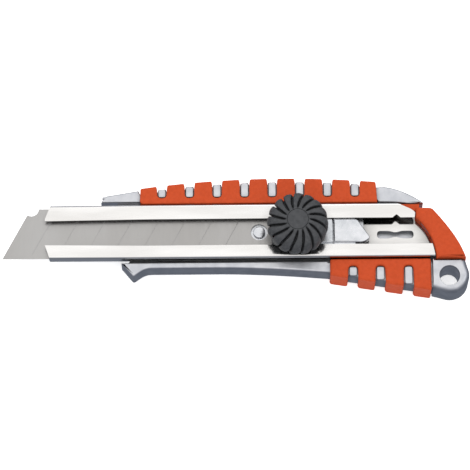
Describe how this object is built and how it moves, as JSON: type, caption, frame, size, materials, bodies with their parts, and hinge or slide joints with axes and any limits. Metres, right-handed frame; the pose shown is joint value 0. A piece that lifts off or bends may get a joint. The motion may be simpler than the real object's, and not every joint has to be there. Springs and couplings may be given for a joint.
{
  "type": "utility knife",
  "caption": "Snap-off utility knife: sliding blade in a folded steel sheath, wheel lock, die-cast handle with ribbed rubber grips, pull-off end cap and lanyard lug.",
  "frame": {"origin": "bottom centre of the whole object, on the surface that the knife lies on", "axes": "+X from the blade's tip to the tail, +Y from the lower grip to the upper grip, +Z out of the face with the wheel"},
  "size_m": [0.1604, 0.0416, 0.0243],
  "materials": {
    "cast_aluminium": "satin die-cast",
    "polished_stainless": "polished folded sheet",
    "blade_steel": "ground, fine grain",
    "plated_steel": "satin nickel plated",
    "plain_steel": "plain",
    "nut_brass": "turned",
    "orange_rubber": "matt moulded rubber",
    "red_plastic": "moulded",
    "black_plastic": "fine spark-eroded texture"
  },
  "bodies": {
    "handle": {"frame_casting": "cast_aluminium", "upper_grip": "orange_rubber", "lower_grip": "orange_rubber", "blade_sheath": "polished_stainless", "sheath_rivet_front": "plain_steel", "sheath_rivet_rear": "plain_steel"},
    "slider": {"snap_off_blade": "blade_steel", "blade_carrier": "plated_steel", "blade_pin": "plated_steel", "carrier_block": "plated_steel", "slider_pad": "plated_steel", "pad_rivet_front": "plain_steel", "pad_rivet_rear": "plain_steel", "lock_stud": "plain_steel", "stud_clip": "plain_steel"},
    "clamp": {"clamp_washer": "plain_steel", "spring_washer": "plain_steel"},
    "wheel": {"lock_wheel": "black_plastic", "wheel_nut": "nut_brass", "wheel_cap": "black_plastic"},
    "end_cap": {"end_cap_grip": "orange_rubber", "end_cap_core": "red_plastic"}
  },
  "joints": [
    {"name": "blade_slide", "type": "slide", "parent": "handle", "child": "slider", "axis": [-1, 0, 0], "range_m": [-0.0166, 0.063]},
    {"name": "clamp_lift", "type": "slide", "parent": "slider", "child": "clamp", "axis": [0, 0, 1], "range_m": [0, 0.0008]},
    {"name": "wheel_turn", "type": "hinge", "parent": "clamp", "child": "wheel", "pos_m": [0.02129, 0.00146, 0], "axis": [0, 0, 1], "range_deg": [0, 360]},
    {"name": "cap_pull", "type": "slide", "parent": "handle", "child": "end_cap", "axis": [1, 0, 0], "range_m": [0, 0.0186]}
  ],
  "couplings": [
    {"joint": "clamp_lift", "follows": "wheel_turn", "m_per_rad": 0.00012732}
  ]
}
